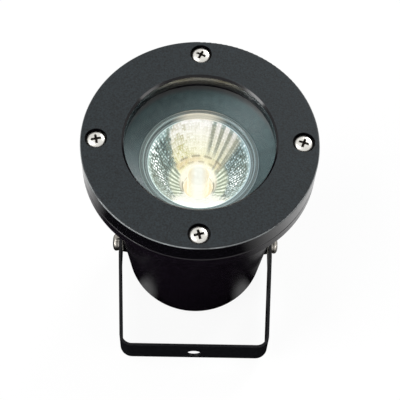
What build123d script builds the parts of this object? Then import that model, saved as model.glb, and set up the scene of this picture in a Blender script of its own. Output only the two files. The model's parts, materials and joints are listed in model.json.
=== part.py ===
from build123d import *
from math import radians, sqrt, tan
import os

os.makedirs("parts", exist_ok=True)

# A submersible spotlight: a cast cup with a bolted face ring, and a bent strip that carries it.
# Lengths are in millimetres and angles in degrees.
# The origin is the centre of the flat rear end, +Z runs along the beam towards the lens, X is the
# pivot axis of the mounting bracket, and the bracket reaches out towards -Y.

# Housing
housing_height = 98.0
flange_thickness = 6.0
face_radius = 48.0
flange_overhang = 8.42
cup_draft = 5.5
cup_wall = 5.5
rear_round = 6.0
flange_blend = 2.5
flange_edge_round = 0.6

# Gland recess in the rear end, with a notch that lets a soft cord out to one side
recess_radius = 14.0
recess_depth = 16.0
web_thickness = 5.0
notch_width = 9.0
notch_height = 9.0

# Face ring, lens and gasket
ring_thickness = 10.0
opening_radius = 30.6
opening_chamfer = 0.9
face_edge_round = 0.7
seam_chamfer = 0.4
glass_to_screw_wall = 1.05
glass_thickness = 4.0
glass_chamfer = 0.4
glass_clearance = 0.3
gasket_thickness = 1.5

# Face screws at the right, back, left and front, and how far each cross recess is turned
face_screw_inset = 6.4
face_screw_length = 12.0
face_screw_turns = (70.0, 64.0, 12.0, 14.0)
pocket_depth = 2.6
pocket_clearance = 0.5

# Pan head screws by thread size, each with a cross recess
m4_radius = 2.0
m4_head_radius = 4.0
m4_head_height = 2.4
m4_head_round = 1.5
m4_cross_length = 4.2
m4_cross_width = 0.95
m4_cross_depth = 1.5
m3_radius = 1.5
m3_head_radius = 2.75
m3_head_height = 1.8
m3_head_round = 1.1
m3_cross_length = 2.9
m3_cross_width = 0.65
m3_cross_depth = 1.1
thread_clearance = 0.02
hole_clearance = 0.25
tip_chamfer = 0.4

# How far a cutting shape runs past the piece that it cuts
overrun = 1.0

# Reflector lamp, 50 mm across
lamp_setback = 16.7
lamp_length = 45.0
lamp_rim_radius = 24.8
lamp_rim_height = 2.5
bowl_radius = 21.0
bowl_focus = 4.9
bowl_margin = 0.1
bowl_wall = 1.6
neck_radius = 6.3
lamp_glass_radius = 22.8
lamp_glass_thickness = 1.4
lamp_collar_radius = 10.5
lamp_collar_height = 3.0
lamp_base_width = 15.6
lamp_base_depth = 11.6
lamp_base_round = 2.5
capsule_radius = 4.6
capsule_wall = 0.8
capsule_length = 20.0
capsule_seat = 3.0
capsule_tip = 0.2
filament_radius = 0.8
filament_length = 4.0
filament_wire_radius = 0.25
filament_wire_offset = 0.5
pin_radius = 0.72
pin_spacing = 5.3
pin_length = 7.0
pin_root = 4.0

# Lamp ring, wedged in the taper of the chamber
lamp_ring_rise = 3.7
lamp_ring_skirt = 6.0
lamp_ring_seat = 0.7
lamp_ring_clearance = 0.15
chamber_clearance = 0.05

# Lamp holder and the bridge that carries it
holder_radius = 9.5
holder_height = 9.5
holder_screw_offset = 6.2
holder_screw_length = 10.7
holder_screw_turn = 30.0
head_pocket_depth = 2.2
contact_radius = 1.4
contact_length = 6.5
bridge_thickness = 1.0
bridge_width = 16.0
bridge_foot = 9.5
bridge_to_wall = 2.2
bridge_bend = 1.6
bridge_screw_length = 4.5
bridge_screw_turn = 15.0
blind_hole_margin = 1.0
m3_nut_across = 5.5
m3_nut_height = 2.4

# Terminal block and lamp leads
block_width = 17.0
block_depth = 9.0
block_height = 10.0
block_to_wall = 2.0
block_edge = 0.8
pole_pitch = 9.0
pole_height = 3.7
pole_tube_radius = 2.1
pole_tube_wall = 0.7
pole_screw_radius = 1.25
pole_screw_offset = 2.4
pole_screw_well = 1.7
pole_slot_width = 0.5
pole_slot_depth = 0.6
block_screw_length = 11.0
block_screw_turn = 40.0
lead_radius = 0.9
lead_bend = 2.0
lead_spread = 3.0
lead_hole_clearance = 0.3

# Cable gland, for a round cord
gland_thread_radius = 6.0
gland_bore_radius = 3.2
gland_hex_across = 17.0
gland_hex_height = 3.0
gland_sleeve_radius = 5.6
gland_sleeve_length = 5.5
gland_sleeve_wall = 0.9
gland_nut_across = 15.0
gland_nut_overlap = 4.6
gland_nut_floor = 2.0
gland_nut_crown = 8.1
gland_nut_round = 1.6
gland_lock_across = 16.0
gland_lock_height = 2.5
seal_clearance = 0.1
o_ring_section = 0.8
o_ring_radius = 7.1

# Mounting bracket and its pivots
pivot_height = 12.0
boss_projection = 1.9
boss_radius = 4.3
boss_root_radius = 5.5
boss_root_depth = 5.0
leg_length = 54.0
strip_width = 14.0
strip_thickness = 1.2
leg_lean = 2.2
leg_pad = 9.0
leg_bend = 5.0
pad_bend = 30.0
base_hole_radius = 3.2
base_hole_offset = 2.0
pivot_screw_length = 10.0
pivot_screw_turn = 25.0
pivot_clearance = 0.08
pivot_washer_thickness = 0.5
lock_washer_radius = 3.8
lock_washer_thickness = 0.9
lock_washer_gap = 0.8

# Radii that follow from the sizes above
flange_back = housing_height - flange_thickness
cup_radius = face_radius - flange_overhang - (flange_back - rear_round) * tan(radians(cup_draft))
face_screw_circle = face_radius - face_screw_inset
glass_radius = face_screw_circle - m4_radius - hole_clearance - glass_to_screw_wall - glass_clearance

# Heights that follow from the sizes above
floor = recess_depth + web_thickness
ledge = housing_height - gasket_thickness
face_front = housing_height + ring_thickness
lamp_front = face_front - lamp_setback
lamp_back = lamp_front - lamp_length
bowl_front = lamp_front - lamp_glass_thickness - bowl_margin
bowl_bottom = bowl_front - bowl_radius**2 / (4 * bowl_focus)
reflector_back = bowl_bottom - bowl_wall
holder_back = lamp_back - holder_height
screw_seat = face_front - pocket_depth
block_screw_grip = block_height - m3_head_height

UP = (Align.CENTER, Align.CENTER, Align.MIN)
DOWN = (Align.CENTER, Align.CENTER, Align.MAX)


def cup_radius_at(height):
    """Outer radius of the tapered cup at a height above the rear end."""
    return cup_radius + (height - rear_round) * tan(radians(cup_draft))


def chamber_radius_at(height):
    """Inner radius of the cup's chamber at a height above the rear end."""
    return cup_radius_at(height) - cup_wall


def rod(radius, low, high):
    """An upright round bar on the axis."""
    return Pos(0, 0, low) * Cylinder(radius, high - low, align=UP)


def tube(outer, inner, low, high):
    """An upright ring on the axis."""
    return rod(outer, low, high) - rod(inner, low, high)


def hexagon(across, low, high):
    """An upright hexagonal bar on the axis, given across its flats."""
    return Pos(0, 0, low) * extrude(RegularPolygon(across / sqrt(3), 6), amount=high - low)


def turned(*lines):
    """A solid turned about Z from an outline drawn as radius and height."""
    return revolve(make_face(Plane.XZ * Curve(list(lines))), Axis.Z)


def edge_ring(shape, radius, height):
    """The round edge of a turned shape that lies nearest to a radius and a height."""
    def miss(edge):
        return abs(edge.radius - radius) + abs(edge.center().Z - height)
    return shape.edges().filter_by(GeomType.CIRCLE).sort_by(miss)[0]


def strip(points, bends, thickness, width):
    """A flat strip bent along the given points, in their plane and evenly about it."""
    path = FilletPolyline(*points, radius=bends)
    section = Plane(origin=path @ 0, z_dir=path % 0, x_dir=(0, 0, 1)) * Rectangle(width, thickness)
    return sweep(section, path=path)


def pan_screw(radius, length, head, cross, turn):
    """A screw along Z whose head stands on z = 0 and whose shank points down.

    The head is given as its radius, height and rounding, and the cross recess as the length, width
    and depth of its arms.
    """
    head_radius, head_height, head_round = head
    body = Cylinder(head_radius, head_height, align=UP)
    body = fillet(body.edges().group_by(Axis.Z)[-1], head_round)
    shank = Cylinder(radius, length, align=DOWN)
    shank = chamfer(shank.edges().group_by(Axis.Z)[0], tip_chamfer)
    arm = Box(*cross, align=DOWN)
    recess = Pos(0, 0, head_height) * Rot(Z=turn) * (arm + Rot(Z=90) * arm)
    return body + shank - recess


def m4_screw(length, turn):
    head = (m4_head_radius, m4_head_height, m4_head_round)
    return pan_screw(m4_radius, length, head, (m4_cross_length, m4_cross_width, m4_cross_depth), turn)


def m3_screw(length, turn):
    head = (m3_head_radius, m3_head_height, m3_head_round)
    return pan_screw(m3_radius, length, head, (m3_cross_length, m3_cross_width, m3_cross_depth), turn)


def threaded_hole(radius, depth):
    """The space of a tapped hole that starts at z = 0 and goes down."""
    return Cylinder(radius + thread_clearance, depth, align=DOWN)


def face_screw_places():
    return [Rot(Z=90 * k) * Pos(face_screw_circle, 0, 0) for k in range(4)]


def bridge_foot_places():
    offset = bridge_reach - (bridge_foot - bridge_thickness) / 2
    return [Pos(side * offset, 0, 0) for side in (-1, 1)]


def holder_screw_places():
    return [Pos(0, side * holder_screw_offset, 0) for side in (-1, 1)]


def pin_places():
    return [Pos(side * pin_spacing / 2, 0, 0) for side in (-1, 1)]


def pole_places():
    return [Pos(side * pole_pitch / 2, block_offset, floor) for side in (-1, 1)]


# Places on the chamber floor, kept clear of the wall round it
floor_radius = chamber_radius_at(floor)
bridge_reach = floor_radius - bridge_to_wall
block_offset = sqrt((floor_radius - block_to_wall) ** 2 - (block_width / 2) ** 2) - block_depth / 2

# Places along the pivot axis, measured out from the middle
boss_face = cup_radius_at(pivot_height) + boss_projection
leg_inner = boss_face + pivot_washer_thickness
leg_outer = leg_inner + strip_thickness
lock_washer_face = leg_outer + lock_washer_thickness


def on_pivot(side, reach, shape):
    """Lays a shape's Z axis along the pivot axis, pointing out on one side."""
    return Pos(side * reach, 0, pivot_height) * Rot(Y=side * 90) * shape


def make_housing():
    """The cup and its flange, with the chamber, the gland recess, the notch and the pivot bosses."""
    outline = Polyline(
        (0, 0),
        (cup_radius_at(0), 0),
        (cup_radius_at(flange_back), flange_back),
        (face_radius, flange_back),
        (face_radius, housing_height),
        (0, housing_height),
        (0, 0),
    )
    body = turned(*outline.edges())
    body = fillet(edge_ring(body, cup_radius_at(0), 0), rear_round)
    body = fillet(edge_ring(body, cup_radius_at(flange_back), flange_back), flange_blend)
    body = fillet(edge_ring(body, face_radius, flange_back), flange_edge_round)
    body = fillet(edge_ring(body, face_radius, housing_height), flange_edge_round)
    boss_root = cup_radius_at(pivot_height) - boss_root_depth
    boss = Cone(boss_root_radius, boss_radius, boss_face - boss_root, align=UP)
    pivot_hole = threaded_hole(m4_radius, pivot_screw_length + blind_hole_margin)
    for side in (-1, 1):
        body += on_pivot(side, boss_root, boss)
        body -= on_pivot(side, boss_face, pivot_hole)
    chamber_height = ledge - floor
    body -= Pos(0, 0, floor) * Cone(
        chamber_radius_at(floor), chamber_radius_at(ledge), chamber_height, align=UP
    )
    body -= rod(glass_radius + glass_clearance, ledge, housing_height)
    body -= rod(recess_radius, 0, recess_depth)
    body -= rod(gland_thread_radius + thread_clearance, recess_depth, floor)
    notch_top = Pos(0, 0, notch_height - notch_width / 2)
    notch = notch_top * Rot(X=-90) * Cylinder(notch_width / 2, face_radius, align=UP)
    notch += notch_top * Box(
        notch_width, face_radius, notch_height, align=(Align.CENTER, Align.MIN, Align.MAX)
    )
    body -= notch
    for place in face_screw_places():
        body -= Pos(0, 0, housing_height) * place * threaded_hole(m4_radius, flange_thickness)
    bridge_hole = bridge_screw_length - bridge_thickness + blind_hole_margin
    for place in bridge_foot_places():
        body -= Pos(0, 0, floor) * place * threaded_hole(m3_radius, bridge_hole)
    block_hole = block_screw_length - block_screw_grip + blind_hole_margin
    body -= Pos(0, block_offset, floor) * threaded_hole(m3_radius, block_hole)
    return body


def make_face_ring():
    """The bolted ring: its lip holds the lens down, and its four screw heads lie in pockets."""
    ring = tube(face_radius, opening_radius, housing_height, face_front)
    ring = chamfer(edge_ring(ring, opening_radius, face_front), opening_chamfer)
    ring = fillet(edge_ring(ring, face_radius, face_front), face_edge_round)
    ring = chamfer(edge_ring(ring, face_radius, housing_height), seam_chamfer)
    ring -= rod(glass_radius + glass_clearance, housing_height, housing_height + glass_thickness)
    for place in face_screw_places():
        ring -= Pos(0, 0, screw_seat) * place * Cylinder(
            m4_head_radius + pocket_clearance, pocket_depth, align=UP
        )
        ring -= Pos(0, 0, housing_height) * place * Cylinder(
            m4_radius + hole_clearance, ring_thickness, align=UP
        )
    return ring


def make_lens_glass():
    """A toughened disc, clamped between the ring's lip and the gasket."""
    glass = rod(glass_radius, housing_height, housing_height + glass_thickness)
    return chamfer(glass.edges(), glass_chamfer)


def make_lens_gasket():
    """A flat seal on the ledge at the mouth of the chamber."""
    return tube(glass_radius, chamber_radius_at(ledge), ledge, housing_height)


def make_face_screws():
    return Compound([
        Pos(0, 0, screw_seat) * place * m4_screw(face_screw_length, turn)
        for place, turn in zip(face_screw_places(), face_screw_turns)
    ])


def make_lamp_ring():
    """A tapered ring that centres the lamp's rim in the chamber."""
    seat = lamp_front - lamp_rim_height
    top = lamp_front + lamp_ring_rise
    bottom = top - lamp_ring_rise - lamp_ring_skirt
    bore = lamp_rim_radius + lamp_ring_clearance
    ledge_radius = lamp_rim_radius - lamp_ring_seat
    outline = Polyline(
        (bore, lamp_front),
        (chamber_radius_at(top) - chamber_clearance, top),
        (chamber_radius_at(bottom) - chamber_clearance, bottom),
        (ledge_radius, bottom),
        (ledge_radius, seat),
        (bore, seat),
        (bore, lamp_front),
    )
    return turned(*outline.edges())


def bowl_line(start, end, drop):
    """A stretch of the bowl's parabola between two radii, lowered by a drop.

    The height is the square of the radius over four focal lengths, which one curve with a single
    control point gives exactly.
    """
    low = bowl_bottom - drop + start**2 / (4 * bowl_focus)
    high = bowl_bottom - drop + end**2 / (4 * bowl_focus)
    middle = low + start / (2 * bowl_focus) * (end - start) / 2
    return Bezier((start, low), ((start + end) / 2, middle), (end, high))


def make_lamp_reflector():
    """The lamp's glass bowl: a parabola inside, an even wall, and a thick rim at the front.

    The outer parabola is the inner one lowered by a drop, and it ends where it meets the rim's back.
    """
    rim_back = lamp_front - lamp_rim_height
    drop = 2 * bowl_wall
    shoulder_radius = sqrt(4 * bowl_focus * (rim_back - bowl_bottom + drop))
    inner = bowl_line(neck_radius, bowl_radius, 0)
    outer = bowl_line(lamp_collar_radius, shoulder_radius, drop)
    inner_top = (inner @ 1)
    seat = lamp_front - lamp_glass_thickness
    lines = [
        inner,
        Polyline(
            (bowl_radius, inner_top.Y),
            (bowl_radius, seat),
            (lamp_glass_radius + thread_clearance, seat),
            (lamp_glass_radius + thread_clearance, lamp_front),
            (lamp_rim_radius, lamp_front),
            (lamp_rim_radius, rim_back),
            (shoulder_radius, rim_back),
        ),
        outer,
        Polyline(
            (lamp_collar_radius, (outer @ 0).Y),
            (lamp_collar_radius, reflector_back),
            (neck_radius, reflector_back),
            (neck_radius, (inner @ 0).Y),
        ),
    ]
    return turned(*[edge for line in lines for edge in line.edges()])


def make_lamp_front_glass():
    """The lamp's own cover glass."""
    return rod(lamp_glass_radius, lamp_front - lamp_glass_thickness, lamp_front)


def make_lamp_base():
    """The ceramic base behind the bowl, with a collar under it and holes for the capsule and pins."""
    collar_low = reflector_back - lamp_collar_height
    block = Pos(0, 0, lamp_back) * Box(
        lamp_base_width, lamp_base_depth, reflector_back - lamp_back, align=UP
    )
    block = fillet(block.edges().filter_by(Axis.Z), lamp_base_round)
    base = block + rod(lamp_collar_radius, collar_low, reflector_back)
    base -= rod(capsule_radius + thread_clearance, reflector_back - capsule_seat, reflector_back)
    for place in pin_places():
        base -= place * rod(pin_radius + thread_clearance, lamp_back, lamp_back + pin_root)
    return base


def make_lamp_pins():
    return Compound([
        place * rod(pin_radius, lamp_back - pin_length, lamp_back + pin_root) for place in pin_places()
    ])


def capsule_shell(radius, low, high):
    """A round bar with a domed top."""
    bar = rod(radius, low, high)
    return fillet(bar.edges().group_by(Axis.Z)[-1], radius - capsule_tip)


def make_lamp_capsule():
    """The quartz capsule: a closed tube with a domed end and a solid foot in the base."""
    low = reflector_back - capsule_seat
    high = low + capsule_length
    hollow = capsule_shell(capsule_radius - capsule_wall, low + 2 * capsule_seat, high - capsule_wall)
    return capsule_shell(capsule_radius, low, high) - hollow


def make_lamp_filament():
    """The filament at the bowl's focus, held by two wires that stand on the capsule's foot."""
    focus = bowl_bottom + bowl_focus
    foot = reflector_back + capsule_seat
    coil = rod(filament_radius, focus - filament_length / 2, focus + filament_length / 2)
    wire = rod(filament_wire_radius, foot, focus)
    return coil + Pos(filament_wire_offset, 0, 0) * wire + Pos(-filament_wire_offset, 0, 0) * wire


def make_lamp_holder():
    """The round ceramic holder, with a pocket for each contact and two sunk screw heads."""
    holder = rod(holder_radius, holder_back, lamp_back)
    holder = chamfer(holder.edges().group_by(Axis.Z)[-1], seam_chamfer)
    for place in pin_places():
        holder -= place * rod(pin_radius + hole_clearance, holder_back, lamp_back)
        holder -= place * rod(contact_radius + thread_clearance, holder_back, holder_back + contact_length)
    for place in holder_screw_places():
        holder -= place * rod(m3_radius + hole_clearance, holder_back, lamp_back)
        holder -= place * rod(m3_head_radius + hole_clearance, lamp_back - head_pocket_depth, lamp_back)
    return holder


def make_holder_contacts():
    """Two brass sleeves that grip the lamp's pins."""
    sleeve = tube(contact_radius, pin_radius + thread_clearance, holder_back, holder_back + contact_length)
    return Compound([place * sleeve for place in pin_places()])


def make_holder_screws():
    screw = Pos(0, 0, lamp_back - head_pocket_depth) * m3_screw(holder_screw_length, holder_screw_turn)
    return Compound([place * screw for place in holder_screw_places()])


def make_holder_nuts():
    high = holder_back - bridge_thickness
    nut = hexagon(m3_nut_across, high - m3_nut_height, high) - rod(
        m3_radius + thread_clearance, high - m3_nut_height, high
    )
    return Compound([place * nut for place in holder_screw_places()])


def make_holder_bridge():
    """A bent strip that stands on the chamber floor and carries the lamp holder."""
    half = bridge_thickness / 2
    top = holder_back - half
    low = floor + half
    half_span = bridge_reach - bridge_foot
    right = [(half_span, top), (half_span, low), (bridge_reach, low)]
    left = [(-x, z) for x, z in reversed(right)]
    points = [(x, z) for x, z in left + right]
    path_plane = Plane(origin=(0, 0, 0), x_dir=(1, 0, 0), z_dir=(0, -1, 0))
    bridge = path_plane * strip(points, bridge_bend, bridge_thickness, bridge_width)
    for place in bridge_foot_places() + holder_screw_places():
        bridge -= place * rod(m3_radius + hole_clearance, floor, holder_back)
    for place in pin_places():
        bridge -= place * rod(
            lead_radius + lead_hole_clearance, holder_back - bridge_thickness - overrun, holder_back
        )
    return bridge


def make_bridge_screws():
    screw = Pos(0, 0, floor + bridge_thickness) * m3_screw(bridge_screw_length, bridge_screw_turn)
    return Compound([place * screw for place in bridge_foot_places()])


def make_terminal_block():
    """A two-pole nylon block on the chamber floor, where the supply cord's cores would join."""
    block = Pos(0, block_offset, floor) * Box(block_width, block_depth, block_height, align=UP)
    block = chamfer(block.edges().group_by(Axis.Z)[-1], block_edge)
    for place in pole_places():
        block -= place * Pos(0, 0, pole_height) * Rot(X=90) * Cylinder(
            pole_tube_radius + thread_clearance, block_depth
        )
        for side in (-1, 1):
            block -= place * Pos(0, side * pole_screw_offset, pole_height) * Cylinder(
                pole_screw_well, block_height, align=UP
            )
    block -= Pos(0, block_offset, floor) * Cylinder(m3_radius + hole_clearance, block_height, align=UP)
    block -= Pos(0, block_offset, floor + block_screw_grip) * Cylinder(
        m3_head_radius + hole_clearance, block_height, align=UP
    )
    return block


def make_terminal_tubes():
    """The brass clamp tube of each pole."""
    bore = Cylinder(pole_tube_radius - pole_tube_wall, block_depth)
    body = Rot(X=90) * (Cylinder(pole_tube_radius, block_depth) - bore)
    for side in (-1, 1):
        body -= Pos(0, side * pole_screw_offset, 0) * Cylinder(
            pole_screw_radius + thread_clearance, pole_tube_radius, align=UP
        )
    return Compound([place * Pos(0, 0, pole_height) * body for place in pole_places()])


def make_terminal_screws():
    """Four headless clamp screws, down in the wells of the block."""
    low = pole_tube_radius - pole_tube_wall
    length = block_height - pole_height - low - block_edge
    screw = Pos(0, 0, low) * Cylinder(pole_screw_radius, length, align=UP)
    screw -= Pos(0, 0, low + length) * Box(
        2 * (pole_screw_radius + overrun), pole_slot_width, pole_slot_depth, align=DOWN
    )
    return Compound([
        place * Pos(0, side * pole_screw_offset, pole_height) * screw
        for place in pole_places() for side in (-1, 1)
    ])


def make_block_screw():
    return Pos(0, block_offset, floor + block_screw_grip) * m3_screw(block_screw_length, block_screw_turn)


def make_lamp_leads():
    """Two insulated leads, from the holder's contacts down and across to the terminal block."""
    leads = []
    height = floor + pole_height
    front = block_offset - block_depth / 2
    for side in (-1, 1):
        path = FilletPolyline(
            (side * pin_spacing / 2, 0, holder_back),
            (side * pin_spacing / 2, 0, height),
            (side * pole_pitch / 2, lead_spread, height),
            (side * pole_pitch / 2, front, height),
            radius=[lead_bend, lead_bend],
        )
        section = Plane(origin=path @ 0, z_dir=path % 0) * Circle(lead_radius)
        leads.append(sweep(section, path=path))
    return Compound([lead.solids()[0] for lead in leads])


def make_gland_body():
    """The gland's body: its thread goes up through the web, its hexagon seats under it."""
    top = floor + gland_lock_height
    hex_low = recess_depth - gland_hex_height
    low = hex_low - gland_sleeve_length
    body = rod(gland_thread_radius, recess_depth, top)
    body += hexagon(gland_hex_across, hex_low, recess_depth)
    body += rod(gland_sleeve_radius, low, hex_low)
    body -= rod(gland_bore_radius, low, top)
    body -= rod(gland_sleeve_radius - gland_sleeve_wall, low, hex_low)
    groove = 2 * o_ring_section
    body -= tube(
        o_ring_radius + o_ring_section + thread_clearance,
        o_ring_radius - o_ring_section - thread_clearance,
        recess_depth - groove,
        recess_depth,
    )
    return body


def make_gland_o_ring():
    return Pos(0, 0, recess_depth - o_ring_section) * Torus(o_ring_radius, o_ring_section)


def make_gland_lock_nut():
    high = floor + gland_lock_height
    nut = hexagon(gland_lock_across, floor, high)
    return nut - rod(gland_thread_radius + thread_clearance, floor, high)


def make_gland_seal():
    """The rubber bush that the gland nut squeezes on to the cord."""
    hex_low = recess_depth - gland_hex_height
    outer = gland_sleeve_radius - gland_sleeve_wall - seal_clearance
    return tube(outer, gland_bore_radius, hex_low - gland_sleeve_length, hex_low)


def make_gland_nut():
    """The clamping nut, a hexagon with a rounded mouth, down inside the recess."""
    sleeve_low = recess_depth - gland_hex_height - gland_sleeve_length
    high = sleeve_low + gland_nut_overlap
    low = sleeve_low - gland_nut_floor
    nut = hexagon(gland_nut_across, low, high)
    crown = rod(gland_nut_crown, low, high)
    nut &= fillet(crown.edges().group_by(Axis.Z)[0], gland_nut_round)
    nut -= rod(gland_sleeve_radius + thread_clearance, sleeve_low, high)
    nut -= rod(gland_bore_radius, low, high)
    return nut


def make_mounting_bracket():
    """The bent strip: two legs that lean in towards its base, flat pads round the pivots,
    rounded leg ends, and one bolt hole in the base."""
    middle = strip_thickness / 2
    pad = leg_inner + middle
    corner = (pad - leg_lean, middle - leg_length)
    right = [(pad, strip_width / 2), (pad, -leg_pad), corner]
    points = right + [(-x, y) for x, y in reversed(right)]
    bends = [pad_bend, leg_bend, leg_bend, pad_bend]
    bracket = Pos(0, 0, pivot_height) * strip(points, bends, strip_thickness, strip_width)
    width = 2 * leg_outer
    keep = Pos(0, 0, pivot_height) * Rot(Y=90) * Cylinder(strip_width / 2, width)
    keep += Pos(0, 0, pivot_height) * Box(
        width, leg_length, strip_width, align=(Align.CENTER, Align.MAX, Align.CENTER)
    )
    bracket &= keep
    bracket -= Pos(0, 0, pivot_height) * Rot(Y=90) * Cylinder(m4_radius + pivot_clearance, width)
    bracket -= Pos(0, -leg_length, pivot_height - base_hole_offset) * Rot(X=90) * Cylinder(
        base_hole_radius, 2 * (strip_thickness + overrun)
    )
    return bracket


def make_pivot_washers():
    """Nylon washers between the bosses and the legs."""
    washer = tube(boss_radius, m4_radius + pivot_clearance, 0, pivot_washer_thickness)
    return Compound([on_pivot(side, boss_face, washer) for side in (-1, 1)])


def make_pivot_lock_washers():
    """Split spring washers under the heads of the pivot screws."""
    washer = tube(lock_washer_radius, m4_radius + pivot_clearance, 0, lock_washer_thickness)
    washer -= Pos(lock_washer_radius, 0, 0) * Box(
        2 * lock_washer_radius, lock_washer_gap, 2 * (lock_washer_thickness + overrun)
    )
    return Compound([on_pivot(side, leg_outer, washer) for side in (-1, 1)])


def make_pivot_screws():
    screw = m4_screw(pivot_screw_length + lock_washer_face - boss_face, pivot_screw_turn)
    return Compound([on_pivot(side, lock_washer_face, screw) for side in (-1, 1)])


nodes = {
    "housing": make_housing,
    "face_ring": make_face_ring,
    "lens_glass": make_lens_glass,
    "lens_gasket": make_lens_gasket,
    "face_screws": make_face_screws,
    "lamp_ring": make_lamp_ring,
    "lamp_reflector": make_lamp_reflector,
    "lamp_front_glass": make_lamp_front_glass,
    "lamp_base": make_lamp_base,
    "lamp_pins": make_lamp_pins,
    "lamp_capsule": make_lamp_capsule,
    "lamp_filament": make_lamp_filament,
    "lamp_holder": make_lamp_holder,
    "holder_contacts": make_holder_contacts,
    "holder_screws": make_holder_screws,
    "holder_nuts": make_holder_nuts,
    "holder_bridge": make_holder_bridge,
    "bridge_screws": make_bridge_screws,
    "terminal_block": make_terminal_block,
    "terminal_tubes": make_terminal_tubes,
    "terminal_screws": make_terminal_screws,
    "block_screw": make_block_screw,
    "lamp_leads": make_lamp_leads,
    "gland_body": make_gland_body,
    "gland_o_ring": make_gland_o_ring,
    "gland_lock_nut": make_gland_lock_nut,
    "gland_seal": make_gland_seal,
    "gland_nut": make_gland_nut,
    "mounting_bracket": make_mounting_bracket,
    "pivot_washers": make_pivot_washers,
    "pivot_lock_washers": make_pivot_lock_washers,
    "pivot_screws": make_pivot_screws,
}

for name, make in nodes.items():
    export_step(make(), f"parts/{name}.step")
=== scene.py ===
"""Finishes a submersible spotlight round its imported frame: materials, fine pieces, floor and light.

All lengths are in metres, in the frame's own axes: the origin is the centre of the flat rear end, +Z
is the beam, X is the bracket's pivot axis, and the bracket reaches towards -Y.
"""

import json

import bpy
import numpy as np
from bpy.props import FloatProperty, FloatVectorProperty, IntProperty, PointerProperty
from mathutils import Matrix, Vector

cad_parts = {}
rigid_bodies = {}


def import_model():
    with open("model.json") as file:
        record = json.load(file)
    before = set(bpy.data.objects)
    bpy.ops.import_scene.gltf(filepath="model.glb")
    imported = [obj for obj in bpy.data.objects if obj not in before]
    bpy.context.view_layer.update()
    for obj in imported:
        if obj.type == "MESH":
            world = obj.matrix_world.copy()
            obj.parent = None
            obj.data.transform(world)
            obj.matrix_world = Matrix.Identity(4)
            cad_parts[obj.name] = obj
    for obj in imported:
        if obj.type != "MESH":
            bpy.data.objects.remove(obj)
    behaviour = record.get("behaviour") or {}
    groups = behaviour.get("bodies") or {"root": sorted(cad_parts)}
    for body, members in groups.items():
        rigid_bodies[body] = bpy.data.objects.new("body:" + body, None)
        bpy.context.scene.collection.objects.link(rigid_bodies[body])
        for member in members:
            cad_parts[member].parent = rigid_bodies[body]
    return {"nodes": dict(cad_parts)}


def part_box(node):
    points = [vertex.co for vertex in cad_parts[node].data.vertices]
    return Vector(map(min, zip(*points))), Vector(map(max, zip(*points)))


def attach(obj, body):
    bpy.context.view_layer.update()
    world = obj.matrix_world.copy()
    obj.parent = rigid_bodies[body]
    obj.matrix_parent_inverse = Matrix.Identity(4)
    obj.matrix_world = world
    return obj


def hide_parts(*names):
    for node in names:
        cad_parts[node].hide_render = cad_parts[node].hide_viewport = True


bl_info = {
    "name": "Submersible Spotlight",
    "version": (1, 0, 0),
    "blender": (4, 5, 0),
    "location": "View3D > Sidebar > Spotlight",
    "description": "Builds the finish of a submersible spotlight round its packed frame",
    "category": "Object",
}

for leftover in list(bpy.data.objects):
    bpy.data.objects.remove(leftover)
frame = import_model()
bpy.context.view_layer.update()

MM = 0.001
PHOTO_WIDTH = 400

# Sockets of the Mix node, whose names repeat: its two values, its two colours and the mixed colour
VALUE_A, VALUE_B, COLOUR_A, COLOUR_B, COLOUR_OUT = 2, 3, 6, 7, 2

# Noise seldom leaves these limits, so a pattern made from it is spread between them
NOISE_LOW, NOISE_HIGH = 0.3, 0.7

# Edges of the new pieces that turn by more degrees than this are sharp
SHARP_ANGLE = 35.0

# Mesh steps across one facet of the bowl
FACET_STEPS = 6

# Turns of the cross recesses, in degrees: the four face screws in order, and both pivot screws
FACE_SCREW_TURNS = (70.0, 64.0, 12.0, 14.0)
PIVOT_SCREW_TURN = 25.0

# Half the side of the floor, and the flag that lies round the cup's foot on it
FLOOR_REACH = 3.0
FLAG_OUTER, FLAG_INNER, FLAG_HEIGHT, FLAG_SECTORS = 200 * MM, 28.5 * MM, 0.5 * MM, 96

# The soft boxes of the studio, which all face one target: name, place, width, height and power
SOFT_BOXES = (
    ("high_left_box", (-0.6, 0.0, 1.1), 0.45, 0.45, 4.6),
    ("low_left_box", (-0.9, -0.5, 0.46), 0.75, 0.35, 11.0),
    ("low_right_box", (0.9, -0.5, 0.46), 0.6, 0.35, 3.5),
    ("low_front_box", (0.1, -1.0, 0.6), 1.0, 0.25, 0.9),
    ("back_box", (0.55, 0.8, 0.66), 0.4, 0.4, 8.0),
)
BOX_TARGET = (0, 0, 60 * MM)


def linear(hex_colour):
    """The linear colour of an sRGB hex value: each channel's standard curve, undone."""
    channels = np.array([int(hex_colour[i:i + 2], 16) for i in (1, 3, 5)]) / 255
    return tuple(np.where(channels <= 0.04045, channels / 12.92, ((channels + 0.055) / 1.055) ** 2.4))


def length_property(name, description, default_mm):
    """A size in metres that a user may change, given here in millimetres."""
    return FloatProperty(
        name=name, description=description, default=default_mm * MM, min=0.0, precision=5, unit="LENGTH"
    )


def colour_property(name, description, hex_colour):
    """A surface colour that a user may change, given here as an sRGB hex value."""
    return FloatVectorProperty(
        name=name, description=description, default=linear(hex_colour), min=0.0, max=1.0, subtype="COLOR"
    )


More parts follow.
